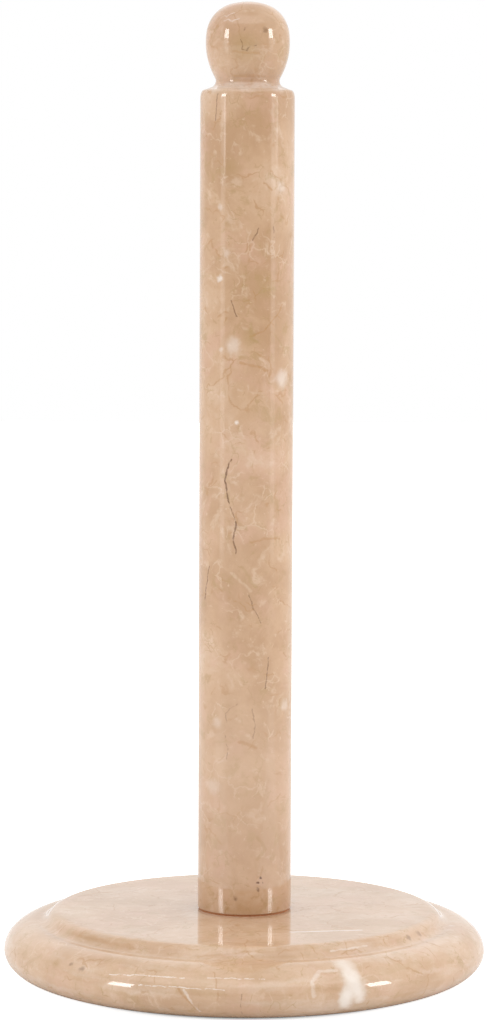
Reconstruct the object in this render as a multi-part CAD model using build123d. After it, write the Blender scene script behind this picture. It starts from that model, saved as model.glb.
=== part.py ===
from build123d import *

import os
from math import acos, atan2, cos, degrees, radians, sin, sqrt, tan

# Countertop paper towel holder in polished marble: a turned post with a ball top, bolted to a round base.
# +Z is up and the origin is on the countertop under the middle of the base, so z = 0 is the pads' underside.
# All sizes are in millimetres. Each function makes one kind of piece, already in its place.

# Base: a stone disc with a rounded rim, and a raised table in the middle that the roll stands on.
# The step down from the table is a soft curve: a round, then a hollow, with its steepest slope between them.
BASE_RADIUS = 76.0
BASE_HEIGHT = 20.4
UNDERSIDE_RADIUS = 63.7
RIM_WIDEST_HEIGHT = 8.0
RIM_TOP_HEIGHT = 16.8
TABLE_FLAT_RADIUS = 58.2
STEP_ROUND = 4.6
STEP_SLOPE = 55.0

# Pads stuck under the base.
PAD_RADIUS = 8.0
PAD_THICKNESS = 1.6
PAD_EDGE_ROUND = 0.4
PAD_CIRCLE_RADIUS = 50.0
PAD_COUNT = 4
FIRST_PAD_ANGLE = 45.0

# Post: cylinder, sloping shoulder, neck and ball, turned from one bar.
POST_RADIUS = 14.75
POST_FOOT_ARRIS = 0.35
STONE_HEIGHT = 305.1
BALL_RADIUS = 13.1
BALL_SIDE_RADIUS = 22.0
BALL_SIDE_TOP_ANGLE = 9.0
BALL_CORNER_RADIUS = 10.4
BALL_CROWN_RADIUS = 19.0
NECK_RADIUS = 9.95
NECK_COVE_RADIUS = 2.0
SHOULDER_SLOPE = 21.0
SHOULDER_ROUND = 1.1

# Gasket between the two stones, set in a little from the post's edge.
GASKET_THICKNESS = 0.5
GASKET_INSET = 0.45
GASKET_BORE_RADIUS = 6.6

# Tie bolt, M8 x 40 with a hexagon head. Its thread is drawn as a plain cylinder at the pitch diameter.
BOLT_PITCH_RADIUS = 3.59
BOLT_LENGTH = 40.0
BOLT_TIP_CHAMFER = 0.9
HEAD_ACROSS_FLATS = 13.0
HEAD_HEIGHT = 5.3
HEAD_CORNER_ANGLE = 30.0
HEAD_FLAT_SHARE = 0.95
HEAD_WASHER_FACE_RADIUS = 5.8
HEAD_WASHER_FACE_HEIGHT = 0.4

# Washers above the head, from the stone down.
CUSHION_OUTER, CUSHION_INNER, CUSHION_THICKNESS = 12.0, 4.3, 1.5
PLATE_OUTER, PLATE_INNER, PLATE_THICKNESS = 12.0, 4.2, 2.0
PLATE_EDGE_CHAMFER = 0.3
SPRING_OUTER, SPRING_INNER, SPRING_THICKNESS = 7.4, 4.1, 2.0
SPRING_SLIT_WIDTH = 1.2
SPRING_SLIT_LEAN = 30.0

# Holes in the stones.
COUNTERBORE_RADIUS = 13.5
COUNTERBORE_DEPTH = 12.0
COUNTERBORE_CHAMFER = 0.6
BOLT_HOLE_RADIUS = 4.75
ANCHOR_HOLE_RADIUS = 6.25
ANCHOR_HOLE_DEPTH = 30.0

# Threaded insert, closed at its top so that the resin stays out of the thread.
INSERT_RADIUS = 5.5
INSERT_LENGTH = 28.0
INSERT_BORE_RADIUS = 3.65
INSERT_BORE_DEPTH = 26.8
INSERT_GROOVE_DEPTH = 0.5
INSERT_GROOVE_WIDTH = 2.0
INSERT_GROOVE_CENTRES = (7.0, 14.0, 21.0)
INSERT_MOUTH_CHAMFER = 0.5

# Heights above the countertop of the faces that the pieces meet on.
BASE_BOTTOM_Z = PAD_THICKNESS
BASE_TOP_Z = BASE_BOTTOM_Z + BASE_HEIGHT
POST_BOTTOM_Z = BASE_TOP_Z + GASKET_THICKNESS
POST_TOP_Z = BASE_BOTTOM_Z + STONE_HEIGHT
CEILING_Z = BASE_BOTTOM_Z + COUNTERBORE_DEPTH
PLATE_TOP_Z = CEILING_Z - CUSHION_THICKNESS
SPRING_TOP_Z = PLATE_TOP_Z - PLATE_THICKNESS
HEAD_TOP_Z = SPRING_TOP_Z - SPRING_THICKNESS


def turned(*edges):
    """Solid turned about Z from a closed outline drawn with X as the radius and Y as the height."""
    outline = Plane.XZ * make_face(Curve() + list(edges))
    return revolve(outline, Axis.Z)


def ring(outer, inner, bottom, thickness):
    """Flat washer shape with square edges."""
    blank = Cylinder(outer, thickness) - Cylinder(inner, thickness)
    return Pos(0, 0, bottom + thickness / 2) * blank


def polar(centre, radius, angle):
    """Point at an angle in degrees on a circle in the outline's plane."""
    return (centre[0] + radius * cos(radians(angle)), centre[1] + radius * sin(radians(angle)))


def quarter_ellipse(centre, width, height, start):
    """Quarter of an ellipse with level and upright axes, from a start angle in degrees."""
    return EllipticalCenterArc(centre, width, height, start, arc_size=90)


def make_base():
    """Base disc with its rounded rim, stepped-up table, bolt hole and counterbore."""
    bottom, top = BASE_BOTTOM_Z, BASE_TOP_Z
    rim_middle = bottom + RIM_WIDEST_HEIGHT
    rim_top = bottom + RIM_TOP_HEIGHT
    slope = radians(STEP_SLOPE)
    # The round and the hollow share the drop from the table to the rim and meet at the steepest slope.
    hollow_radius = (top - rim_top) / (1 - cos(slope)) - STEP_ROUND
    rim_inside = TABLE_FLAT_RADIUS + (STEP_ROUND + hollow_radius) * sin(slope)
    lower_rim = quarter_ellipse(
        (UNDERSIDE_RADIUS, rim_middle), BASE_RADIUS - UNDERSIDE_RADIUS, RIM_WIDEST_HEIGHT, 270
    )
    upper_rim = quarter_ellipse(
        (rim_inside, rim_middle), BASE_RADIUS - rim_inside, RIM_TOP_HEIGHT - RIM_WIDEST_HEIGHT, 0
    )
    hollow = CenterArc((rim_inside, rim_top + hollow_radius), hollow_radius, 270 - STEP_SLOPE, STEP_SLOPE)
    step_round = CenterArc((TABLE_FLAT_RADIUS, top - STEP_ROUND), STEP_ROUND, 90 - STEP_SLOPE, STEP_SLOPE)
    mouth = Polyline(
        (TABLE_FLAT_RADIUS, top),
        (BOLT_HOLE_RADIUS, top),
        (BOLT_HOLE_RADIUS, CEILING_Z),
        (COUNTERBORE_RADIUS, CEILING_Z),
        (COUNTERBORE_RADIUS, bottom + COUNTERBORE_CHAMFER),
        (COUNTERBORE_RADIUS + COUNTERBORE_CHAMFER, bottom),
        (UNDERSIDE_RADIUS, bottom),
    )
    return turned(lower_rim, upper_rim, hollow, step_round, mouth)


def make_post():
    """Post with its foot arris, shoulder, neck, ball and the blind hole for the insert."""
    # The ball is three arcs that run into each other: side, corner and crown. Heights are from its equator.
    side_centre_x = BALL_RADIUS - BALL_SIDE_RADIUS
    corner_x, corner_y = polar((side_centre_x, 0), BALL_SIDE_RADIUS - BALL_CORNER_RADIUS, BALL_SIDE_TOP_ANGLE)
    crown_y = corner_y - sqrt((BALL_CROWN_RADIUS - BALL_CORNER_RADIUS) ** 2 - corner_x**2)
    crown_angle = degrees(atan2(corner_y - crown_y, corner_x))
    equator_z = POST_TOP_Z - crown_y - BALL_CROWN_RADIUS
    side_centre = (side_centre_x, equator_z)
    # Angle below the equator where the side meets the neck's cove, so that the neck has its radius.
    taper = degrees(acos(1 - (BALL_RADIUS - NECK_RADIUS) / (BALL_SIDE_RADIUS + NECK_COVE_RADIUS)))
    cove_centre = polar(side_centre, BALL_SIDE_RADIUS + NECK_COVE_RADIUS, -taper)
    cove_end = polar(cove_centre, NECK_COVE_RADIUS, 270 - SHOULDER_SLOPE)
    # The slope ends on the shoulder's rounded edge, which also runs into the cylinder.
    slope_end_x = POST_RADIUS - SHOULDER_ROUND * (1 - sin(radians(SHOULDER_SLOPE)))
    slope_end = (slope_end_x, cove_end[1] - (slope_end_x - cove_end[0]) * tan(radians(SHOULDER_SLOPE)))
    edge_centre = polar(slope_end, SHOULDER_ROUND, 270 - SHOULDER_SLOPE)
    bottom = POST_BOTTOM_Z
    foot_edge = (POST_RADIUS - POST_FOOT_ARRIS, bottom + POST_FOOT_ARRIS)
    return turned(
        Line((ANCHOR_HOLE_RADIUS, bottom), (foot_edge[0], bottom)),
        CenterArc(foot_edge, POST_FOOT_ARRIS, 270, 90),
        Line((POST_RADIUS, foot_edge[1]), (POST_RADIUS, edge_centre[1])),
        CenterArc(edge_centre, SHOULDER_ROUND, 0, 90 - SHOULDER_SLOPE),
        Line(slope_end, cove_end),
        CenterArc(cove_centre, NECK_COVE_RADIUS, 180 - taper, 90 - SHOULDER_SLOPE + taper),
        CenterArc(side_centre, BALL_SIDE_RADIUS, -taper, taper + BALL_SIDE_TOP_ANGLE),
        CenterArc(
            (corner_x, equator_z + corner_y),
            BALL_CORNER_RADIUS,
            BALL_SIDE_TOP_ANGLE,
            crown_angle - BALL_SIDE_TOP_ANGLE,
        ),
        CenterArc((0, equator_z + crown_y), BALL_CROWN_RADIUS, crown_angle, 90 - crown_angle),
        Polyline(
            (0, POST_TOP_Z),
            (0, bottom + ANCHOR_HOLE_DEPTH),
            (ANCHOR_HOLE_RADIUS, bottom + ANCHOR_HOLE_DEPTH),
            (ANCHOR_HOLE_RADIUS, bottom),
        ),
    )


def make_threaded_insert():
    """Blind threaded sleeve with grooves that the resin grips."""
    sleeve = Cylinder(INSERT_RADIUS, INSERT_LENGTH, align=(Align.CENTER, Align.CENTER, Align.MIN))
    bore = Cylinder(INSERT_BORE_RADIUS, INSERT_BORE_DEPTH, align=(Align.CENTER, Align.CENTER, Align.MIN))
    mouth = Cone(
        INSERT_BORE_RADIUS + INSERT_MOUTH_CHAMFER,
        INSERT_BORE_RADIUS,
        INSERT_MOUTH_CHAMFER,
        align=(Align.CENTER, Align.CENTER, Align.MIN),
    )
    sleeve = sleeve - bore - mouth
    for centre in INSERT_GROOVE_CENTRES:
        sleeve -= ring(
            INSERT_RADIUS + 1,
            INSERT_RADIUS - INSERT_GROOVE_DEPTH,
            centre - INSERT_GROOVE_WIDTH / 2,
            INSERT_GROOVE_WIDTH,
        )
    return Pos(0, 0, POST_BOTTOM_Z) * sleeve


def make_insert_resin():
    """Cured resin that fills the post's hole around and above the insert."""
    align = (Align.CENTER, Align.CENTER, Align.MIN)
    fill = Pos(0, 0, POST_BOTTOM_Z) * Cylinder(ANCHOR_HOLE_RADIUS, ANCHOR_HOLE_DEPTH, align=align)
    core = Pos(0, 0, POST_BOTTOM_Z) * Cylinder(INSERT_BORE_RADIUS + 1, INSERT_BORE_DEPTH, align=align)
    return fill - core - make_threaded_insert()


def make_seat_gasket():
    """Thin fibre ring that keeps the polished faces of the post and the base apart."""
    return ring(POST_RADIUS - GASKET_INSET, GASKET_BORE_RADIUS, BASE_TOP_Z, GASKET_THICKNESS)


def make_tie_bolt():
    """Hexagon-head bolt that pulls the post down on to the base from below."""
    head = extrude(RegularPolygon(HEAD_ACROSS_FLATS / 2, 6, major_radius=False), HEAD_HEIGHT)
    # Both ends of the head are turned to a cone, which rounds the corners off its flats.
    corner_radius = HEAD_ACROSS_FLATS / 2 / cos(radians(30))
    flat_radius = HEAD_ACROSS_FLATS / 2 * HEAD_FLAT_SHARE
    corner_drop = (corner_radius - flat_radius) * tan(radians(HEAD_CORNER_ANGLE))
    blank = turned(
        Polyline(
            (0, 0),
            (flat_radius, 0),
            (corner_radius, corner_drop),
            (corner_radius, HEAD_HEIGHT - HEAD_WASHER_FACE_HEIGHT),
            (HEAD_WASHER_FACE_RADIUS, HEAD_HEIGHT - HEAD_WASHER_FACE_HEIGHT),
            (HEAD_WASHER_FACE_RADIUS, HEAD_HEIGHT),
            (0, HEAD_HEIGHT),
            (0, 0),
        )
    )
    shank = turned(
        Polyline(
            (0, HEAD_HEIGHT),
            (BOLT_PITCH_RADIUS, HEAD_HEIGHT),
            (BOLT_PITCH_RADIUS, HEAD_HEIGHT + BOLT_LENGTH - BOLT_TIP_CHAMFER),
            (BOLT_PITCH_RADIUS - BOLT_TIP_CHAMFER, HEAD_HEIGHT + BOLT_LENGTH),
            (0, HEAD_HEIGHT + BOLT_LENGTH),
            (0, HEAD_HEIGHT),
        )
    )
    return Pos(0, 0, HEAD_TOP_Z - HEAD_HEIGHT) * ((head & blank) + shank)


def make_cushion_washer():
    """Rubber washer that spreads the clamping load on the stone."""
    return ring(CUSHION_OUTER, CUSHION_INNER, PLATE_TOP_Z, CUSHION_THICKNESS)


def make_plate_washer():
    """Wide steel washer with its outer edges broken."""
    bottom = SPRING_TOP_Z
    return turned(
        Polyline(
            (PLATE_INNER, bottom),
            (PLATE_OUTER - PLATE_EDGE_CHAMFER, bottom),
            (PLATE_OUTER, bottom + PLATE_EDGE_CHAMFER),
            (PLATE_OUTER, bottom + PLATE_THICKNESS - PLATE_EDGE_CHAMFER),
            (PLATE_OUTER - PLATE_EDGE_CHAMFER, bottom + PLATE_THICKNESS),
            (PLATE_INNER, bottom + PLATE_THICKNESS),
            (PLATE_INNER, bottom),
        )
    )


def make_spring_washer():
    """Split lock washer, pressed flat, with its leaning slit."""
    whole = ring(SPRING_OUTER, SPRING_INNER, HEAD_TOP_Z, SPRING_THICKNESS)
    slit_length = 2 * SPRING_OUTER
    slit_height = 3 * SPRING_THICKNESS
    slit = Box(slit_length, SPRING_SLIT_WIDTH, slit_height, align=(Align.MIN, Align.CENTER, Align.CENTER))
    middle = HEAD_TOP_Z + SPRING_THICKNESS / 2
    return whole - Pos(0, 0, middle) * Rot(SPRING_SLIT_LEAN, 0, 0) * slit


def make_pads():
    """Round non-slip pads, evenly spaced under the base, by node name."""
    pad = turned(
        Line((0, PAD_THICKNESS), (0, 0)),
        Line((0, 0), (PAD_RADIUS - PAD_EDGE_ROUND, 0)),
        CenterArc((PAD_RADIUS - PAD_EDGE_ROUND, PAD_EDGE_ROUND), PAD_EDGE_ROUND, 270, 90),
        Line((PAD_RADIUS, PAD_EDGE_ROUND), (PAD_RADIUS, PAD_THICKNESS)),
        Line((PAD_RADIUS, PAD_THICKNESS), (0, PAD_THICKNESS)),
    )
    places = PolarLocations(PAD_CIRCLE_RADIUS, PAD_COUNT, start_angle=FIRST_PAD_ANGLE)
    return {f"non_slip_pad_{number}": place * pad for number, place in enumerate(places, 1)}


def main():
    pieces = {
        "base": make_base(),
        "post": make_post(),
        "threaded_insert": make_threaded_insert(),
        "insert_resin": make_insert_resin(),
        "seat_gasket": make_seat_gasket(),
        "tie_bolt": make_tie_bolt(),
        "cushion_washer": make_cushion_washer(),
        "plate_washer": make_plate_washer(),
        "spring_washer": make_spring_washer(),
        **make_pads(),
    }
    os.makedirs("parts", exist_ok=True)
    for name, shape in pieces.items():
        export_step(shape, f"parts/{name}.step")


main()
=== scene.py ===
"""Polished marble paper towel holder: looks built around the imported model, in metres, in the model's own frame."""

from math import acos, atan2, cos, degrees, pi, radians, sin, sqrt, tan

import bmesh
import bpy
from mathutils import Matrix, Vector


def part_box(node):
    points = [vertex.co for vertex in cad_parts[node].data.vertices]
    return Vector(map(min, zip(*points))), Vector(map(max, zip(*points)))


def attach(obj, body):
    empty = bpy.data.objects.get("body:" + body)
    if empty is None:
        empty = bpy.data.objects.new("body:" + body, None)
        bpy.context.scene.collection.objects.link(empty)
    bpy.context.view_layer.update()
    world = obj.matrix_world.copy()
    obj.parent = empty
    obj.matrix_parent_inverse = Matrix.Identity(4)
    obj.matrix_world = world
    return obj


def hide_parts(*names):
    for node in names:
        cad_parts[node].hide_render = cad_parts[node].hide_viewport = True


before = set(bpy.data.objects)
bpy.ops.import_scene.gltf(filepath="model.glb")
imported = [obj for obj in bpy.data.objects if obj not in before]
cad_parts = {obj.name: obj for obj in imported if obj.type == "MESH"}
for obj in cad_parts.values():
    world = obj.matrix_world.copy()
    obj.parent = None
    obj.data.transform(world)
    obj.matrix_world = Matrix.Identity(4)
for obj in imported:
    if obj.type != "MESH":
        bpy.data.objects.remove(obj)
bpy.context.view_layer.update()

MM = 0.001

# ---------------------------------------------------------------- camera

CAMERA_DISTANCE = 1.1126
CAMERA_HEIGHT = 0.241
CAMERA_PITCH = 4.756
CAMERA_ROLL = -0.233
CAMERA_YAW = 0.058
CAMERA_LENS = 125.55
CAMERA_SENSOR = 36.0


def make_camera():
    data = bpy.data.cameras.new("camera")
    data.sensor_width = CAMERA_SENSOR
    data.lens = CAMERA_LENS
    data.clip_start = 0.05
    data.clip_end = 50
    camera = bpy.data.objects.new("camera", data)
    camera.location = (0, -CAMERA_DISTANCE, CAMERA_HEIGHT)
    camera.rotation_euler = (radians(90 - CAMERA_PITCH), radians(CAMERA_ROLL), radians(CAMERA_YAW))
    bpy.context.scene.collection.objects.link(camera)
    bpy.context.scene.camera = camera


make_camera()

# ---------------------------------------------------------------- nodes


def shade(red, green, blue):
    """Colour from the usual 0 to 255 numbers to the linear values that shaders take."""
    linear = []
    for value in (red, green, blue):
        value /= 255
        linear.append(value / 12.92 if value <= 0.04045 else ((value + 0.055) / 1.055) ** 2.4)
    return (*linear, 1.0)


class Graph:
    """Adds nodes to a material or world. Inputs may be numbers, colours or other nodes' outputs."""

    def __init__(self, owner):
        owner.use_nodes = True
        self.tree = owner.node_tree
        self.tree.nodes.clear()

    def add(self, kind, inputs, output=0, **settings):
        node = self.tree.nodes.new(kind)
        for name, value in settings.items():
            setattr(node, name, value)
        for key, value in inputs.items():
            if isinstance(value, bpy.types.NodeSocket):
                self.tree.links.new(value, node.inputs[key])
            else:
                node.inputs[key].default_value = value
        return node.outputs[output] if node.outputs else None

    def math(self, operation, a, b=0.0, clamp=False):
        return self.add("ShaderNodeMath", {0: a, 1: b}, operation=operation, use_clamp=clamp)

    def vector(self, operation, a, b=(0, 0, 0)):
        output = "Value" if operation in ("DOT_PRODUCT", "LENGTH", "DISTANCE") else "Vector"
        return self.add("ShaderNodeVectorMath", {0: a, 1: b}, output, operation=operation)

    def scaled(self, a, factor):
        return self.add("ShaderNodeVectorMath", {0: a, "Scale": factor}, operation="SCALE")

    def step(self, value, start, end, low=0.0, high=1.0):
        """Smooth change from low to high while value goes from start to end, and level outside that."""
        return self.add(
            "ShaderNodeMapRange",
            {"Value": value, "From Min": start, "From Max": end, "To Min": low, "To Max": high},
            interpolation_type="SMOOTHSTEP",
        )

    def spread(self, noise, low=0.0, high=1.0):
        """Smooth change from low to high over the range that noise mostly covers."""
        return self.step(noise, 0.3, 0.7, low, high)

    def mix(self, factor, a, b):
        """Colour a where the factor is 0, b where it is 1. The colours are a Mix node's sockets 6 and 7."""
        return self.add("ShaderNodeMix", {0: factor, 6: a, 7: b}, 2, data_type="RGBA")

    def noise(self, place, size, detail=4.0, roughness=0.55, output="Fac"):
        """Noise whose blobs are about size across, in the units of place."""
        inputs = {"Vector": place, "Scale": 1 / size, "Detail": detail, "Roughness": roughness}
        return self.add("ShaderNodeTexNoise", inputs, output)

    def cells(self, place, size, feature):
        """Distance in a field of random cells about size across, as a share of that size."""
        inputs = {"Vector": place, "Scale": 1 / size}
        return self.add("ShaderNodeTexVoronoi", inputs, "Distance", feature=feature)

    def after(self, vector, colour):
        """The same vector, tied to an earlier colour so that the nodes it feeds are worked out after that one.

        Without this a long row of marks is worked out side by side and overflows the shader's working memory. The
        colour moves the vector by too little to show.
        """
        inputs = {0: colour, 1: (1e-5, 1e-5, 1e-5), 2: vector}
        return self.add("ShaderNodeVectorMath", inputs, operation="MULTIPLY_ADD")

    def place_mm(self):
        """Where the shaded point is on the object, in millimetres in the model's frame."""
        place = self.add("ShaderNodeTexCoord", {}, "Object")
        return self.scaled(place, 1 / MM)

    def finish(self, **inputs):
        """Principled surface with these inputs, by the socket's name with underscores for spaces."""
        shader = self.add("ShaderNodeBsdfPrincipled", {k.replace("_", " "): v for k, v in inputs.items()})
        self.add("ShaderNodeOutputMaterial", {"Surface": shader})


def new_material(name):
    material = bpy.data.materials.new(name)
    return material, Graph(material)


# ---------------------------------------------------------------- sizes of the stone, in millimetres

base_low, base_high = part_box("base")
post_low, post_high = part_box("post")
BASE_RADIUS = base_high.x / MM
BASE_BOTTOM = base_low.z / MM
BASE_TOP = base_high.z / MM
POST_RADIUS = post_high.x / MM
POST_BOTTOM = post_low.z / MM
POST_TOP = post_high.z / MM

# The base has a rim of two quarter ellipses that meet where it is widest, a hollow that rises from the rim, and a
# round that leads from the hollow's slope into the flat table. Both turn through STEP_SLOPE degrees.
UNDERSIDE_RADIUS = 63.7
RIM_WIDEST = BASE_BOTTOM + 8.0
RIM_TOP = BASE_BOTTOM + 16.8
TABLE_RADIUS = 58.2
STEP_ROUND = 4.6
STEP_SLOPE = 55.0
COUNTERBORE_RADIUS = 13.5
COUNTERBORE_TOP = BASE_BOTTOM + 12.0
COUNTERBORE_CHAMFER = 0.6
BOLT_HOLE_RADIUS = 4.75

# The ball's outline is a long side arc, a corner arc and a flat crown arc. Under it a cove leads into the post's
# sloping shoulder, whose edge is rounded higher than it is wide.
FOOT_ARRIS = 0.35
BALL_RADIUS = 13.1
BALL_SIDE_RADIUS = 22.0
BALL_SIDE_TOP_ANGLE = 9.0
BALL_CORNER_RADIUS = 10.4
BALL_CROWN_RADIUS = 19.0
NECK_RADIUS = 9.95
NECK_COVE_RADIUS = 2.0
SHOULDER_SLOPE = 21.0
SHOULDER_ROUND = 1.1
SHOULDER_ROUND_HEIGHT = 2.6
ANCHOR_HOLE_RADIUS = 6.25
ANCHOR_HOLE_DEPTH = 30.0

# How finely the turned meshes are cut round the axis, and the least angle of an edge that isn't smoothed.
POST_AROUND = 160
BASE_AROUND = 288
SHARP_ANGLE = 35.0
# Points closer to the axis than this are on it, and points closer together than this are one point.
ON_AXIS = 1e-6
MERGE_DISTANCE = 1e-4


def arc(centre, width, height, start, sweep, steps):
    """Points on an arc or elliptical arc, from a start angle through a sweep, both in degrees."""
    points = []
    for i in range(steps + 1):
        angle = radians(start + sweep * i / steps)
        points.append((centre[0] + width * cos(angle), centre[1] + height * sin(angle)))
    return points


def straight(start, end, steps):
    """Points along a line, both ends included."""
    points = []
    for i in range(steps + 1):
        share = i / steps
        points.append((start[0] + (end[0] - start[0]) * share, start[1] + (end[1] - start[1]) * share))
    return points


def base_outline():
    """Closed outline of the base as (radius, height), from the outer edge of the underside round to its bore."""
    slope = radians(STEP_SLOPE)
    hollow = (BASE_TOP - RIM_TOP) / (1 - cos(slope)) - STEP_ROUND
    rim_inside = TABLE_RADIUS + (STEP_ROUND + hollow) * sin(slope)
    rim_width = BASE_RADIUS - rim_inside
    return [
        arc((UNDERSIDE_RADIUS, RIM_WIDEST), BASE_RADIUS - UNDERSIDE_RADIUS, RIM_WIDEST - BASE_BOTTOM, 270, 90, 24),
        arc((rim_inside, RIM_WIDEST), rim_width, RIM_TOP - RIM_WIDEST, 0, 90, 24),
        arc((rim_inside, RIM_TOP + hollow), hollow, hollow, 270, -STEP_SLOPE, 14),
        arc((TABLE_RADIUS, BASE_TOP - STEP_ROUND), STEP_ROUND, STEP_ROUND, 90 - STEP_SLOPE, STEP_SLOPE, 14),
        straight((TABLE_RADIUS, BASE_TOP), (BOLT_HOLE_RADIUS, BASE_TOP), 18),
        straight((BOLT_HOLE_RADIUS, BASE_TOP), (BOLT_HOLE_RADIUS, COUNTERBORE_TOP), 4),
        straight((BOLT_HOLE_RADIUS, COUNTERBORE_TOP), (COUNTERBORE_RADIUS, COUNTERBORE_TOP), 4),
        straight((COUNTERBORE_RADIUS, COUNTERBORE_TOP), (COUNTERBORE_RADIUS, BASE_BOTTOM + COUNTERBORE_CHAMFER), 5),
        [(COUNTERBORE_RADIUS + COUNTERBORE_CHAMFER, BASE_BOTTOM)],
        straight((COUNTERBORE_RADIUS + COUNTERBORE_CHAMFER, BASE_BOTTOM), (UNDERSIDE_RADIUS, BASE_BOTTOM), 16),
    ]


def post_outline():
    """Outline of the post as (radius, height), from the blind hole's end down, out and up to the ball's top."""
    side_x = BALL_RADIUS - BALL_SIDE_RADIUS
    reach = BALL_SIDE_RADIUS - BALL_CORNER_RADIUS
    corner = (side_x + reach * cos(radians(BALL_SIDE_TOP_ANGLE)), reach * sin(radians(BALL_SIDE_TOP_ANGLE)))
    crown_y = corner[1] - sqrt((BALL_CROWN_RADIUS - BALL_CORNER_RADIUS) ** 2 - corner[0] ** 2)
    crown_angle = degrees(atan2(corner[1] - crown_y, corner[0]))
    equator = POST_TOP - crown_y - BALL_CROWN_RADIUS
    reach = BALL_SIDE_RADIUS + NECK_COVE_RADIUS
    taper = degrees(acos(1 - (BALL_RADIUS - NECK_RADIUS) / reach))
    cove = (side_x + reach * cos(radians(taper)), equator - reach * sin(radians(taper)))
    slope = radians(SHOULDER_SLOPE)
    cove_end = (cove[0] - NECK_COVE_RADIUS * sin(slope), cove[1] - NECK_COVE_RADIUS * cos(slope))
    edge_turn = degrees(atan2(SHOULDER_ROUND_HEIGHT * cos(slope), SHOULDER_ROUND * sin(slope)))
    edge_x = POST_RADIUS - SHOULDER_ROUND
    slope_end_x = edge_x + SHOULDER_ROUND * cos(radians(edge_turn))
    slope_end = (slope_end_x, cove_end[1] - (slope_end_x - cove_end[0]) * tan(slope))
    edge = (edge_x, slope_end[1] - SHOULDER_ROUND_HEIGHT * sin(radians(edge_turn)))
    foot = (POST_RADIUS - FOOT_ARRIS, POST_BOTTOM + FOOT_ARRIS)
    hole_end = POST_BOTTOM + ANCHOR_HOLE_DEPTH
    return [
        straight((0, hole_end), (ANCHOR_HOLE_RADIUS, hole_end), 3),
        straight((ANCHOR_HOLE_RADIUS, hole_end), (ANCHOR_HOLE_RADIUS, POST_BOTTOM), 8),
        straight((ANCHOR_HOLE_RADIUS, POST_BOTTOM), (foot[0], POST_BOTTOM), 4),
        arc(foot, FOOT_ARRIS, FOOT_ARRIS, 270, 90, 5),
        straight((POST_RADIUS, foot[1]), (POST_RADIUS, edge[1]), 64),
        arc(edge, SHOULDER_ROUND, SHOULDER_ROUND_HEIGHT, 0, edge_turn, 14),
        straight(slope_end, cove_end, 5),
        arc(cove, NECK_COVE_RADIUS, NECK_COVE_RADIUS, 270 - SHOULDER_SLOPE, SHOULDER_SLOPE - 90 - taper, 16),
        arc((side_x, equator), BALL_SIDE_RADIUS, BALL_SIDE_RADIUS, -taper, taper + BALL_SIDE_TOP_ANGLE, 22),
        arc(
            (corner[0], equator + corner[1]),
            BALL_CORNER_RADIUS,
            BALL_CORNER_RADIUS,
            BALL_SIDE_TOP_ANGLE,
            crown_angle - BALL_SIDE_TOP_ANGLE,
            22,
        ),
        arc((0, equator + crown_y), BALL_CROWN_RADIUS, BALL_CROWN_RADIUS, crown_angle, 90 - crown_angle, 12),
    ]


def lathe(name, stretches, around, closed):
    """Mesh turned about Z from an outline's stretches. A point on the axis becomes a single vertex.

    Stretches share their end points, which are kept once. A closed outline also joins its last point to its first.
    """
    outline = []
    for stretch in stretches:
        for point in stretch:
            if not outline or Vector(point).to_3d() != Vector(outline[-1]).to_3d():
                outline.append(point)
    mesh = bmesh.new()
    rings = []
    for radius, height in outline:
        if radius < ON_AXIS:
            rings.append([mesh.verts.new((0, 0, height * MM))] * around)
            continue
        ring = []
        for i in range(around):
            turn = 2 * pi * i / around
            ring.append(mesh.verts.new((radius * sin(turn) * MM, -radius * cos(turn) * MM, height * MM)))
        rings.append(ring)
    pairs = list(zip(rings, rings[1:]))
    if closed:
        pairs.append((rings[-1], rings[0]))
    for lower, upper in pairs:
        for i in range(around):
            j = (i + 1) % around
            corners = []
            for vertex in (lower[i], lower[j], upper[j], upper[i]):
                if vertex not in corners:
                    corners.append(vertex)
            mesh.faces.new(corners)
    bmesh.ops.remove_doubles(mesh, verts=mesh.verts, dist=MERGE_DISTANCE * MM)
    bmesh.ops.recalc_face_normals(mesh, faces=mesh.faces)
    data = bpy.data.meshes.new(name)
    mesh.to_mesh(data)
    mesh.free()
    data.shade_smooth()
    data.set_sharp_from_angle(angle=radians(SHARP_ANGLE))
    piece = bpy.data.objects.new(name, data)
    bpy.context.scene.collection.objects.link(piece)
    return piece


# ---------------------------------------------------------------- marble

TAN = shade(200, 165, 133)
DEEP = shade(185, 148, 114)
PALE = shade(214, 186, 161)
PINK = shade(205, 165, 141)
OLIVE = shade(176, 144, 100)
VEIN_BROWN = shade(98, 64, 30)
RUST = shade(176, 132, 84)
PIT_BROWN = shade(86, 46, 8)
# White of calcite, also used for painted highlights on the rim and painted light on the shoulder.
CALCITE_AND_HIGHLIGHT = shade(236, 226, 216)


def crossings(outline, across, value):
    """Where an outline's radius (across is 0) or height (across is 1) has this value: the other one at each place."""
    found = []
    for stretch in outline:
        for start, end in zip(stretch, stretch[1:]):
            rise = end[across] - start[across]
            share = (value - start[across]) / rise if rise else -1
            if 0 <= share <= 1:
                found.append(start[1 - across] + (end[1 - across] - start[1 - across]) * share)
    return found


def on_side(outline, angle, height):
    """Point on the outermost surface, by degrees round from the front (to the right is positive) and height."""
    radius = max(crossings(outline, 1, height))
    return (radius * sin(radians(angle)), -radius * cos(radians(angle)), height)


def on_top(outline, angle, radius):
    """Point on the highest surface, by degrees round from the front and distance from the axis."""
    height = max(crossings(outline, 0, radius))
    return (radius * sin(radians(angle)), -radius * cos(radians(angle)), height)


def place_veins(outline, place, veins):
    placed = []
    for half_width, strength, tint, points in veins:
        placed.append((half_width, strength, tint, [place(outline, *point) for point in points]))
    return placed


def place_spots(outline, place, spots):
    return [(place(outline, *centre), *rest) for centre, *rest in spots]


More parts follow.
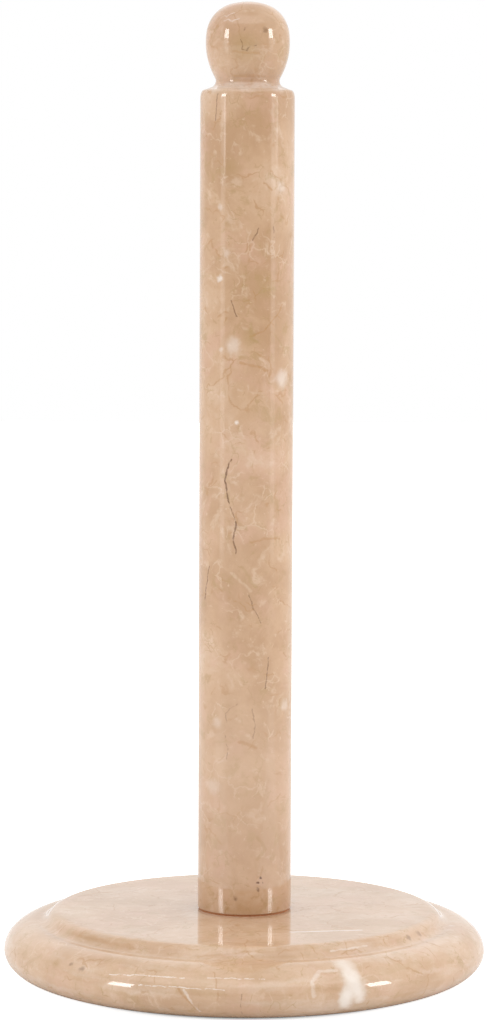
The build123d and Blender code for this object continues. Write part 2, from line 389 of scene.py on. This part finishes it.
def path_distance(graph, place, points):
    """Distance from place to the nearest of the straight runs between the points, in millimetres."""
    nearest = None
    for start, end in zip(points, points[1:]):
        run = Vector(end) - Vector(start)
        offset = graph.vector("SUBTRACT", place, start)
        along = graph.vector("DOT_PRODUCT", offset, tuple(run))
        share = graph.math("MULTIPLY", along, 1 / run.length_squared, clamp=True)
        foot = graph.add("ShaderNodeVectorMath", {0: tuple(run), "Scale": share}, operation="SCALE")
        distance = graph.vector("DISTANCE", offset, foot)
        nearest = distance if nearest is None else graph.math("MINIMUM", nearest, distance)
    return nearest


# Patches of colour: shift in the block, size in mm, detail, roughness, noise where it starts and is full, strength,
# colour. Each is laid over the one before.
CLOUDS = [
    ((0, 0, 0), 24, 6, 0.6, 0.36, 0.6, 1.0, TAN),
    ((0, 0, 0), 24, 6, 0.6, 0.54, 0.74, 0.8, PALE),
    ((40, 7, 90), 13, 4, 0.62, 0.48, 0.68, 0.55, PINK),
    ((11, 77, 31), 7, 5, 0.68, 0.54, 0.68, 0.6, OLIVE),
    ((71, 20, 53), 6, 5, 0.62, 0.55, 0.7, 0.55, PALE),
]
# Flat beds of the stone that show as level streaks on the rim. They are squashed by BED_SQUASH.
BEDS = [
    ((0, 0, 0), 7, 4, 0.6, 0.44, 0.68, 0.4, PALE),
    ((37, 15, 5), 5, 4, 0.6, 0.46, 0.68, 0.3, OLIVE),
    ((61, 81, 25), 6, 4, 0.6, 0.5, 0.68, 0.16, CALCITE_AND_HIGHLIGHT),
]
BED_SQUASH = (0.22, 0.22, 1.5)
SPECKS = [
    ((0, 0, 0), 0.8, 2, 0.65, 0.3, 0.7, 0.15, DEEP),
    ((3, 5, 7), 1.5, 3, 0.7, 0.64, 0.74, 0.5, OLIVE),
    ((83, 15, 37), 1.7, 3, 0.7, 0.62, 0.74, 0.5, PALE),
]
# Fine seams between fragments: shift, fragment size, full and outer half width, then shift, size, start and full
# of the noise that says where they show, strength, colour.
SEAMS = [
    ((0, 0, 0), 12, 0.08, 0.4, (0, 0, 0), 7, 0.5, 0.6, 0.5, RUST),
    ((5, 9, 3), 6.5, 0.05, 0.3, (33, 3, 8), 9, 0.53, 0.62, 0.5, PALE),
    ((51, 19, 23), 5, 0.03, 0.22, (63, 43, 18), 6, 0.55, 0.63, 0.55, OLIVE),
]
# Noise that moves places about, as size and reach in mm: a slow swirl, a fine crinkle (less for the white spots),
# and the wander of the placed veins.
SWIRL_SIZE, SWIRL_REACH = 18, 14
CRINKLE_SIZE, CRINKLE_REACH, SPOT_CRINKLE = 3.2, 3.0, 1.6
WANDER_SIZE, WANDER_REACH = 2.2, 1.3
# Small white spots: spacing, radius that is full and radius where they end, strength, and the patches they keep to.
CALCITE_SPACING, CALCITE_CORE, CALCITE_EDGE, CALCITE_STRENGTH = 17, 0.3, 1.4, 0.45
CALCITE_PATCH, CALCITE_PATCH_SHIFT = 14, (9, 61, 27)
# A placed mark is full up to the first share of its half width or radius, and ends at the second.
VEIN_CORE, VEIN_EDGE = 0.4, 1.6
SPOT_CORE, SPOT_EDGE = 0.2, 1.2
# Veins come and go over this length, down to this share of their strength.
VEIN_PATCH, VEIN_FAINTEST = 1.5, 0.55
# Relief: size and depth of the waviness, depth of the grooves along veins, and how strongly all of it shows.
WAVE_SIZE, WAVE_DEPTH, GROOVE_DEPTH, RELIEF = 11, 0.04, 0.10, 0.25
# Roughness of the polish, of its worn patches, and what the honed underside adds, then the size of the patches.
POLISHED, WORN, HONED, WEAR_SIZE = 0.035, 0.06, 0.3, 5
MARBLE_IOR = 1.56


def offset_noise(graph, place, size, detail, roughness=0.55):
    """Noise with three parts, each from about -0.5 to 0.5, for moving a place about."""
    return graph.vector("SUBTRACT", graph.noise(place, size, detail, roughness, output="Color"), (0.5, 0.5, 0.5))


def lay_patches(graph, colour, place, patches):
    for shift, size, detail, roughness, start, full, strength, tint in patches:
        cloud = graph.noise(graph.vector("ADD", place, shift), size, detail, roughness)
        colour = graph.mix(graph.step(cloud, start, full, 0, strength), colour, tint)
    return colour


def lay_seams(graph, colour, block, broken):
    for shift, size, inner, outer, shown_shift, shown_size, start, full, strength, tint in SEAMS:
        edge = graph.cells(graph.vector("ADD", broken, shift), size, "DISTANCE_TO_EDGE")
        line = graph.step(graph.math("MULTIPLY", edge, size), inner, outer, 1, 0)
        shown = graph.step(graph.noise(graph.vector("ADD", block, shown_shift), shown_size, 2), start, full)
        amount = graph.math("MULTIPLY", graph.math("MULTIPLY", line, shown), strength)
        colour = graph.mix(amount, colour, tint)
    return colour


def lay_calcite(graph, colour, block, crinkle):
    """Small white spots, in a few cells only."""
    place = graph.vector("ADD", block, graph.scaled(crinkle, SPOT_CRINKLE))
    distance = graph.math("MULTIPLY", graph.cells(place, CALCITE_SPACING, "F1"), CALCITE_SPACING)
    spot = graph.step(distance, CALCITE_CORE, CALCITE_EDGE, CALCITE_STRENGTH, 0)
    rare = graph.noise(graph.vector("ADD", block, CALCITE_PATCH_SHIFT), CALCITE_PATCH, 1)
    return graph.mix(graph.math("MULTIPLY", spot, graph.step(rare, 0.62, 0.66)), colour, CALCITE_AND_HIGHLIGHT)


def lay_spots(graph, colour, place, spots):
    for centre, radius, strength, tint in spots:
        place = graph.after(place, colour)
        distance = graph.vector("DISTANCE", place, centre)
        spot = graph.step(distance, radius * SPOT_CORE, radius * SPOT_EDGE, strength, 0)
        colour = graph.mix(spot, colour, tint)
    return colour


def lay_veins(graph, colour, block, place, veins):
    """Lays the veins over the colour. Gives the colour, and how far each point is inside a vein."""
    patchy = graph.step(graph.noise(block, VEIN_PATCH, 3, 0.7), 0.3, 0.55, VEIN_FAINTEST, 1)
    cut = 0.0
    for half_width, strength, tint, points in veins:
        place = graph.after(place, colour)
        distance = path_distance(graph, place, points)
        line = graph.step(distance, half_width * VEIN_CORE, half_width * VEIN_EDGE, strength, 0)
        line = graph.math("MULTIPLY", line, patchy)
        colour = graph.mix(line, colour, tint)
        cut = graph.math("MAXIMUM", cut, line)
    return colour, cut


def marble(name, drift, milk, beds, veins, spots):
    """Beige marble: soft clouds, broken fine seams, calcite spots, and this piece's own veins and spots, some of them
    painted light.

    drift is where in the block the piece was cut, milk is how much paler it is throughout, and beds are patches
    to lay flat. veins are (half width, strength, colour, points) and spots are (centre, radius, strength, colour),
    in millimetres.
    """
    material, g = new_material(name)
    place = g.place_mm()
    block = g.vector("ADD", place, drift)
    flow = g.vector("ADD", block, g.scaled(offset_noise(g, block, SWIRL_SIZE, 3), SWIRL_REACH))
    crinkle = offset_noise(g, block, CRINKLE_SIZE, 4, 0.6)
    broken = g.vector("ADD", flow, g.scaled(crinkle, CRINKLE_REACH))

    colour = g.mix(milk, lay_patches(g, DEEP, flow, CLOUDS), PALE)
    bedding = g.vector("MULTIPLY", g.vector("ADD", block, g.scaled(crinkle, CRINKLE_REACH)), BED_SQUASH)
    colour = lay_patches(g, colour, bedding, beds)
    colour = lay_seams(g, colour, block, broken)
    colour = lay_calcite(g, colour, block, crinkle)
    colour = lay_patches(g, colour, block, SPECKS)
    colour = lay_spots(g, colour, g.vector("ADD", place, g.scaled(crinkle, CRINKLE_REACH)), spots)
    near = g.vector("ADD", place, g.scaled(offset_noise(g, block, WANDER_SIZE, 3), WANDER_REACH))
    colour, cut = lay_veins(g, colour, block, near, veins)

    # Polish: a very slight waviness, a groove along each vein, and a honed underside.
    wave = g.math("MULTIPLY", g.noise(block, WAVE_SIZE, 2), WAVE_DEPTH)
    height = g.math("SUBTRACT", wave, g.math("MULTIPLY", cut, GROOVE_DEPTH))
    normal = g.add("ShaderNodeBump", {"Strength": RELIEF, "Distance": MM, "Height": height})
    up = g.add("ShaderNodeSeparateXYZ", {0: place}, "Z")
    honed = g.step(up, BASE_BOTTOM + 0.05, BASE_BOTTOM + 0.4, HONED, 0)
    worn = g.step(g.noise(block, WEAR_SIZE, 3), 0.35, 0.7, POLISHED, WORN)
    g.finish(Base_Color=colour, Roughness=g.math("ADD", worn, honed), Normal=normal, IOR=MARBLE_IOR)
    return material


# Veins on the post and its ball, and one band of painted light: half width in mm, strength, colour, then points as
# (degrees round from the front, height in mm).
POST_VEINS_AND_LIGHT = [
    # Ball: brown scribble, pale squiggles near the crown, and painted light on the shoulder: a near-white band on its
    # upward-facing front.
    (0.18, 0.45, VEIN_BROWN, [(-9.8, 294.4), (-7.1, 292.8), (-8.4, 291.5), (-1.8, 291.1)]),
    (0.18, 0.45, VEIN_BROWN, [(-1.8, 291.1), (2.7, 292.1), (11.1, 292.6)]),
    (0.2, 0.5, VEIN_BROWN, [(-4.3, 297.9), (-4.8, 297.0)]),
    (0.22, 0.28, CALCITE_AND_HIGHLIGHT, [(-46.8, 301.3), (-40.9, 301.9), (-35.0, 301.5), (-24.1, 302.7)]),
    (0.22, 0.33, CALCITE_AND_HIGHLIGHT, [(-37.8, 300.2), (-30.5, 300.6), (-24.0, 300.0), (-13.0, 300.9)]),
    (0.4, 0.45, RUST, [(-20.1, 290.9), (-2.5, 290.5), (15.1, 290.2)]),
    # Painted light: the upward-facing front of the shoulder is lightened to stand in for the light from above that
    # falls on it.
    (2.0, 0.5, CALCITE_AND_HIGHLIGHT, [(-45, 279.8), (0, 279.8), (45, 279.8)]),
    # Post: the long crack in three runs, then hairlines and broader streaks.
    (0.26, 0.8, VEIN_BROWN, [(-17, 165.3), (-22, 163.6), (-26, 158.7), (-24, 155), (-21, 152)]),
    (0.18, 0.55, VEIN_BROWN, [(-21, 152), (-18, 149.7), (-12.5, 146.5)]),
    (0.24, 0.7, VEIN_BROWN, [(-12, 146), (-12, 144.6), (-15, 141), (-12, 136)]),
    (0.22, 0.65, VEIN_BROWN, [(-50, 131.8), (-58, 123.5), (-59, 121)]),
    (0.2, 0.5, VEIN_BROWN, [(-39, 278), (-42, 269.7)]),
    (0.2, 0.55, VEIN_BROWN, [(29, 103.5), (28, 98.8), (25, 93.8)]),
    (0.2, 0.5, VEIN_BROWN, [(5, 123.3), (9, 119.3), (19, 114.5)]),
    (0.4, 0.45, RUST, [(6, 139.5), (23, 140.8), (45, 140.3)]),
    (0.45, 0.5, OLIVE, [(-4, 131.8), (13, 125.5)]),
    (0.45, 0.4, PALE, [(-17, 129.8), (6, 124.6)]),
    (0.2, 0.55, VEIN_BROWN, [(14, 236.6), (7, 232.9)]),
    (0.18, 0.5, VEIN_BROWN, [(34, 237.2), (35, 234)]),
    (0.22, 0.6, VEIN_BROWN, [(-19, 214.4), (-12, 209.3)]),
    (0.2, 0.45, RUST, [(-18, 214.2), (3, 214.6)]),
    (0.5, 0.65, OLIVE, [(16, 217.0), (36, 218.1)]),
    (0.3, 0.55, RUST, [(4, 203.5), (21, 205.1), (41, 210.4), (48, 213)]),
    (0.5, 0.6, OLIVE, [(5, 207.3), (6, 202.8), (12, 201.7)]),
    (0.45, 0.55, RUST, [(-7, 195.2), (15, 194.1), (25, 192.9)]),
    (0.3, 0.5, OLIVE, [(35, 204.3), (48, 200.5)]),
    (0.35, 0.4, PALE, [(-10, 186.8), (15, 185.7), (43, 186.5)]),
    (0.35, 0.5, RUST, [(21, 250.5), (31, 248.5)]),
    (0.2, 0.32, VEIN_BROWN, [(9, 87.5), (12, 82.2), (10, 78.5)]),
    (0.2, 0.3, VEIN_BROWN, [(-25, 79), (-21, 74.5), (-23, 71.5)]),
    (0.2, 0.28, VEIN_BROWN, [(-10, 89), (-25, 86), (-23, 83)]),
    (0.5, 0.4, RUST, [(-7, 77.2), (3, 76.6), (13, 75.2)]),
    (0.5, 0.35, OLIVE, [(17, 47), (26, 43.2), (15, 40)]),
]
# Spots on the post and its ball, and one patch of painted light: (degrees round, height), radius, strength, colour.
POST_SPOTS_AND_LIGHT = [
    # Ball: dark clouds in front, and a grey spot.
    ((0, 291.0), 14.2, 0.45, DEEP),
    ((-4.0, 292.2), 5.5, 0.55, OLIVE),
    ((24.1, 297.4), 1.1, 0.45, VEIN_BROWN),
    # Post: painted light that pales the lower end where the lighting falls off, white and dark spots, and the pits at
    # the foot.
    # Painted light: a broad pale patch lifts the lower post to make up for the light falling off towards the bottom.
    ((10, 62), 40.0, 0.3, PALE),
    ((-17, 200.5), 3.0, 0.4, CALCITE_AND_HIGHLIGHT),
    ((-33, 199), 1.2, 0.35, CALCITE_AND_HIGHLIGHT),
    ((49, 190), 3.4, 0.5, CALCITE_AND_HIGHLIGHT),
    ((44, 249), 2.3, 0.35, CALCITE_AND_HIGHLIGHT),
    ((-34, 243), 1.2, 0.35, CALCITE_AND_HIGHLIGHT),
    ((-25, 229), 1.5, 0.25, CALCITE_AND_HIGHLIGHT),
    ((-35, 221.4), 1.1, 0.7, CALCITE_AND_HIGHLIGHT),
    ((-11, 176.5), 0.8, 0.7, CALCITE_AND_HIGHLIGHT),
    ((-37, 83), 2.2, 0.2, CALCITE_AND_HIGHLIGHT),
    ((-43, 62.5), 3.2, 0.25, CALCITE_AND_HIGHLIGHT),
    ((57, 88), 2.4, 0.3, CALCITE_AND_HIGHLIGHT),
    ((25, 218), 4.0, 0.45, OLIVE),
    ((3, 203), 3.0, 0.4, OLIVE),
    ((46, 201.7), 2.8, 0.4, DEEP),
    ((-20, 255.5), 3.6, 0.35, OLIVE),
    ((22, 271.8), 3.6, 0.35, DEEP),
    ((2, 24), 8.0, 0.45, RUST),
    ((20, 34.4), 0.55, 0.95, PIT_BROWN),
    ((16, 32.5), 0.55, 0.95, PIT_BROWN),
    ((21.5, 32.8), 0.5, 0.9, PIT_BROWN),
    ((16, 30.3), 0.6, 0.95, PIT_BROWN),
    ((-10, 27.8), 1.0, 0.5, PIT_BROWN),
    ((-39, 38), 1.2, 0.4, OLIVE),
]
# Veins on the base's rim, placed in the same way. The last four are painted highlights: fine level lines on the left
# that stand in for reflections of the softboxes.
RIM_VEINS_AND_HIGHLIGHTS = [
    (0.35, 0.6, RUST, [(-15.2, 12.2), (-12.8, 8.9), (-10.4, 5.6)]),
    (0.35, 0.45, CALCITE_AND_HIGHLIGHT, [(-13.5, 11.7), (-11.9, 8.4), (-10.1, 5.1)]),
    (0.2, 0.4, VEIN_BROWN, [(-0.5, 11.0), (-0.6, 7.7), (-0.5, 4.4)]),
    (0.6, 0.4, CALCITE_AND_HIGHLIGHT, [(22.3, 16.3), (18.3, 16.4), (15.7, 14.0), (15.9, 10.0)]),
    # Painted highlights: thin white lines that stand in for the softboxes' reflections on the polished rim.
    (0.15, 0.8, CALCITE_AND_HIGHLIGHT, [(-32.6, 14.1), (-27.6, 14.4), (-22.9, 14.7), (-13.9, 14.9)]),
    (0.15, 0.8, CALCITE_AND_HIGHLIGHT, [(-24.9, 12.0), (-20.6, 12.2), (-16.5, 12.3), (-12.4, 12.3)]),
    (0.15, 0.7, CALCITE_AND_HIGHLIGHT, [(-12.4, 12.3), (-8.4, 12.2), (-4.4, 12.1)]),
    (0.14, 0.7, CALCITE_AND_HIGHLIGHT, [(-8.6, 15.2), (-4.1, 15.2), (0.4, 15.1), (4.8, 14.9)]),
]
# Veins on the base's table and step, with points as (degrees round, distance from the axis).
TABLE_VEINS = [
    (0.5, 0.8, CALCITE_AND_HIGHLIGHT, [(20.8, 40.6), (46.1, 49.8)]),
    (0.3, 0.5, RUST, [(5.6, 36.9), (19.5, 41.9)]),
    (0.3, 0.45, CALCITE_AND_HIGHLIGHT, [(25, 62.0), (31, 61.9), (37, 61.8)]),
    (0.8, 0.5, PALE, [(-1.1, 60.5), (8.3, 60.4)]),
    (1.0, 0.35, RUST, [(-58, 61.7), (-49, 61.6), (-38, 62.2), (-33.2, 62.0)]),
    (0.35, 0.3, RUST, [(-12.7, 62.9), (-6.5, 62.0), (-2.2, 61.9)]),
    (0.35, 0.25, RUST, [(-2.2, 61.9), (4.7, 60.8), (10.5, 60.4)]),
]
# Spots on the rim, and on the step. The white blotch is a chain of them.
RIM_SPOTS = [
    ((25.1, 17.5), 3.6, 0.65, CALCITE_AND_HIGHLIGHT),
    ((25.4, 15.3), 3.7, 0.7, CALCITE_AND_HIGHLIGHT),
    ((25.9, 12.6), 4.0, 0.8, CALCITE_AND_HIGHLIGHT),
    ((26.8, 9.7), 3.1, 0.75, CALCITE_AND_HIGHLIGHT),
    ((27.3, 7.5), 1.8, 0.5, CALCITE_AND_HIGHLIGHT),
    ((23.8, 10.1), 2.7, 0.75, CALCITE_AND_HIGHLIGHT),
    ((23.7, 8.0), 2.7, 0.8, CALCITE_AND_HIGHLIGHT),
    ((23.9, 5.9), 2.5, 0.75, CALCITE_AND_HIGHLIGHT),
    ((-45.0, 14.9), 0.9, 0.42, PIT_BROWN),
    ((-41.1, 14.4), 1.1, 0.42, PIT_BROWN),
    ((61.6, 12.5), 2.2, 0.6, OLIVE),
    ((-50.1, 14.2), 2.2, 0.45, OLIVE),
]
TABLE_SPOTS = [
    ((54.4, 62.1), 1.1, 0.38, PIT_BROWN),
    ((60.4, 61.9), 1.1, 0.35, PIT_BROWN),
]
# Where in the block each piece was cut, and how much paler the base's piece is.
POST_CUT = (120, 35, 10)
BASE_CUT = (-60, 210, 400)
BASE_MILK = 0.2

post_shape = post_outline()
base_shape = base_outline()
post_veins_and_light = place_veins(post_shape, on_side, POST_VEINS_AND_LIGHT)
post_spots_and_light = place_spots(post_shape, on_side, POST_SPOTS_AND_LIGHT)
base_veins_and_highlights = place_veins(base_shape, on_side, RIM_VEINS_AND_HIGHLIGHTS) + place_veins(base_shape, on_top, TABLE_VEINS)
base_spots = place_spots(base_shape, on_side, RIM_SPOTS) + place_spots(base_shape, on_top, TABLE_SPOTS)

post = lathe("marble_post", post_shape, POST_AROUND, closed=False)
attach(post, "root")
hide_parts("post")
post.data.materials.append(marble("post_marble", POST_CUT, 0.0, [], post_veins_and_light, post_spots_and_light))

base = lathe("marble_base", base_shape, BASE_AROUND, closed=True)
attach(base, "root")
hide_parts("base")
base.data.materials.append(marble("base_marble", BASE_CUT, BASE_MILK, BEDS, base_veins_and_highlights, base_spots))

# ---------------------------------------------------------------- hardware and pads


def zinc_steel():
    material, g = new_material("zinc_plated_steel")
    place = g.place_mm()
    cloud = g.noise(place, 2.5, 4, 0.6)
    colour = g.mix(g.step(cloud, 0.35, 0.65), shade(188, 192, 196), shade(206, 206, 200))
    roughness = g.spread(g.noise(place, 1.1, 3, 0.6), 0.24, 0.38)
    normal = g.add("ShaderNodeBump", {"Strength": 0.3, "Distance": MM, "Height": g.math("MULTIPLY", cloud, 0.05)})
    g.finish(Base_Color=colour, Roughness=roughness, Normal=normal, Metallic=1.0)
    return material


def dull_metal(name, size, dark, light, smooth, rough):
    """Metal with soft clouds of this size in mm, between two colours and two roughnesses."""
    material, g = new_material(name)
    cloud = g.noise(g.place_mm(), size, 4, 0.6)
    colour = g.mix(g.step(cloud, 0.35, 0.65), dark, light)
    g.finish(Base_Color=colour, Roughness=g.spread(cloud, smooth, rough), Metallic=1.0)
    return material


def rubber(name, dark, light, pore):
    material, g = new_material(name)
    place = g.place_mm()
    grain = g.noise(place, pore, 3, 0.6)
    cells = g.cells(place, pore * 2, "F1")
    colour = g.mix(g.spread(grain), dark, light)
    height = g.math("ADD", g.math("MULTIPLY", grain, 0.5), cells)
    normal = g.add("ShaderNodeBump", {"Strength": 0.35, "Distance": MM * 0.15, "Height": height})
    g.finish(Base_Color=colour, Roughness=g.spread(grain, 0.62, 0.82), Normal=normal)
    return material


def fibre():
    material, g = new_material("brown_fibre")
    place = g.place_mm()
    grain = g.noise(g.vector("MULTIPLY", place, (1, 1, 4)), 0.8, 4, 0.65)
    colour = g.mix(g.spread(grain), shade(168, 104, 62), shade(190, 126, 80))
    g.finish(Base_Color=colour, Roughness=g.spread(grain, 0.6, 0.78))
    return material


def resin():
    material, g = new_material("anchor_resin")
    place = g.place_mm()
    grain = g.noise(place, 1.4, 4, 0.6)
    colour = g.mix(g.spread(grain), shade(196, 190, 172), shade(216, 210, 194))
    g.finish(Base_Color=colour, Roughness=g.spread(grain, 0.4, 0.55))
    return material


pad_rubber = rubber("pad_rubber", shade(44, 44, 45), shade(62, 62, 64), 0.35)
NODE_MATERIALS = {
    "seat_gasket": fibre(),
    "threaded_insert": dull_metal("turned_brass", 3, shade(196, 160, 88), shade(212, 176, 106), 0.28, 0.42),
    "insert_resin": resin(),
    "tie_bolt": zinc_steel(),
    "plate_washer": zinc_steel(),
    "spring_washer": dull_metal("spring_steel", 1.6, shade(118, 119, 122), shade(146, 145, 142), 0.34, 0.5),
    "cushion_washer": rubber("cushion_rubber", shade(24, 24, 24), shade(38, 38, 38), 0.3),
    "non_slip_pad_1": pad_rubber,
    "non_slip_pad_2": pad_rubber,
    "non_slip_pad_3": pad_rubber,
    "non_slip_pad_4": pad_rubber,
}
for node, material in NODE_MATERIALS.items():
    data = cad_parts[node].data
    data.materials.clear()
    data.materials.append(material)

# ---------------------------------------------------------------- floor and light

FLOOR_SIZE = 6.0
# The floor is lifted to white for the camera, except close under the object, where its shade stays.
FLOOR_GLOW = 0.9
FLOOR_SHADE_RADIUS = 60.0
FLOOR_SHADE_SOFTNESS = 3.0

# Brightness of the studio round the object as (front, left, right, back), where 1 is the white of the picture,
# from the floor up.
WALLS = (0.38, 0.76, 1.14, 1.03)
COVING = (0.38, 0.76, 1.14, 1.3)
CEILING = (1.8, 1.4, 1.4, 1.05)
OVERHEAD = 0.97
# How far up (the sine of the angle) each level passes into the next.
COVING_RISE = (0.26, 0.42)
CEILING_RISE = (0.58, 0.7)
OVERHEAD_RISE = (0.91, 0.97)
# Where the front, the back and the two sides meet (the cosine of the angle from the front, or from the right).
FRONT_EDGE = (0.46, 0.56)
BACK_EDGE = (-0.64, -0.5)
SIDE_EDGE = (-0.3, 0.3)

# Softboxes: name, degrees round from the front, then distance, low edge, high edge and width in metres, and
# brightness. The strips are the main lights, and the spills and edges are weak ones near the object.
STRIPS = [
    ("strip_left", -60.5, 5.0, 0.84, 2.16, 1.08, 10.4),
    ("strip_right", 67.0, 5.0, 0.84, 2.16, 1.08, 10.8),
    ("spill_left", -60.5, 1.2, 0.02, 0.41, 0.26, 1.0),
    ("spill_right", 67.0, 1.2, 0.02, 0.41, 0.26, 0.8),
    ("edge_left", -56.5, 1.2, 0.27, 0.41, 0.11, 2.1),
    ("edge_right", 76.5, 1.2, 0.27, 0.41, 0.11, 1.8),
]

# White cards lying beside the object: name, degrees round from the front, brightness they add.
CARDS = [("card_left", -64.0, 0.5), ("card_right", 66.0, 0.5)]
CARD_NEAR, CARD_FAR, CARD_WIDTH = 0.14, 0.62, 0.2
CARD_HEIGHT = 0.004


def make_floor():
    mesh = bmesh.new()
    bmesh.ops.create_grid(mesh, x_segments=4, y_segments=4, size=FLOOR_SIZE / 2)
    data = bpy.data.meshes.new("floor")
    mesh.to_mesh(data)
    mesh.free()
    floor = bpy.data.objects.new("floor", data)
    bpy.context.scene.collection.objects.link(floor)
    material, g = new_material("floor_paper")
    grain = g.noise(g.place_mm(), 3, 3)
    colour = g.mix(g.spread(grain), shade(244, 244, 244), shade(248, 248, 248))
    start, full = FLOOR_SHADE_RADIUS - FLOOR_SHADE_SOFTNESS, FLOOR_SHADE_RADIUS + FLOOR_SHADE_SOFTNESS
    away = g.step(g.vector("LENGTH", g.place_mm()), start, full, 0, FLOOR_GLOW)
    glow = g.math("MULTIPLY", g.add("ShaderNodeLightPath", {}, "Is Camera Ray"), away)
    g.finish(Base_Color=colour, Roughness=0.8, Emission_Color=(1, 1, 1, 1), Emission_Strength=glow)
    data.materials.append(material)


def blend(graph, share, low, high):
    """low where share is 0, high where it is 1."""
    kept = graph.math("MULTIPLY", low, graph.math("SUBTRACT", 1.0, share))
    return graph.math("ADD", kept, graph.math("MULTIPLY", share, high))


def make_world():
    """Pale studio that differs from front to back, as walls, ceiling and overhead. The camera sees plain white."""
    world = bpy.data.worlds.new("studio")
    bpy.context.scene.world = world
    g = Graph(world)
    direction = g.add("ShaderNodeTexCoord", {}, "Generated")
    parts = g.tree.nodes.new("ShaderNodeSeparateXYZ")
    g.tree.links.new(direction, parts.inputs[0])
    x, y, z = parts.outputs
    level = g.math("SQRT", g.math("ADD", g.math("MULTIPLY", x, x), g.math("MULTIPLY", y, y)))
    level = g.math("MAXIMUM", level, 0.001)
    to_front = g.math("MULTIPLY", g.math("DIVIDE", y, level), -1.0)
    to_right = g.math("DIVIDE", x, level)

    def around(front, left, right, back):
        value = blend(g, g.step(to_front, *FRONT_EDGE), g.step(to_right, *SIDE_EDGE, left, right), front)
        return blend(g, g.step(to_front, *BACK_EDGE, 1, 0), value, back)

    strength = blend(g, g.step(z, *COVING_RISE), around(*WALLS), around(*COVING))
    strength = blend(g, g.step(z, *CEILING_RISE), strength, around(*CEILING))
    strength = blend(g, g.step(z, *OVERHEAD_RISE), strength, OVERHEAD)
    seen = g.add("ShaderNodeLightPath", {}, "Is Camera Ray")
    strength = blend(g, seen, strength, 1.0)
    shader = g.add("ShaderNodeBackground", {"Color": (1, 1, 1, 1), "Strength": strength})
    g.add("ShaderNodeOutputWorld", {"Surface": shader})


def add_light(name, width, height, radiance, place, turn):
    """Flat rectangular light of a given brightness."""
    data = bpy.data.lights.new(name, "AREA")
    data.shape = "RECTANGLE"
    data.size = width
    data.size_y = height
    data.energy = radiance * pi * width * height
    light = bpy.data.objects.new(name, data)
    light.location = place
    light.rotation_euler = turn
    bpy.context.scene.collection.objects.link(light)
    return light


def make_strip(name, azimuth, distance, low, high, width, radiance):
    """Upright softbox that faces the object's axis, unseen by the camera."""
    turn = radians(azimuth)
    place = (distance * sin(turn), -distance * cos(turn), (low + high) / 2)
    light = add_light(name, width, high - low, radiance, place, (pi / 2, 0, turn))
    light.visible_camera = False


def make_card(name, azimuth, radiance):
    """White card flat on the floor, pointing away from the object, as a light that faces up."""
    turn = radians(azimuth)
    middle = (CARD_NEAR + CARD_FAR) / 2
    place = (middle * sin(turn), -middle * cos(turn), CARD_HEIGHT)
    add_light(name, CARD_FAR - CARD_NEAR, CARD_WIDTH, radiance, place, (pi, 0, turn - pi / 2))


make_floor()
make_world()
for strip in STRIPS:
    make_strip(*strip)
for card in CARDS:
    make_card(*card)
bpy.context.scene.view_settings.view_transform = "Standard"
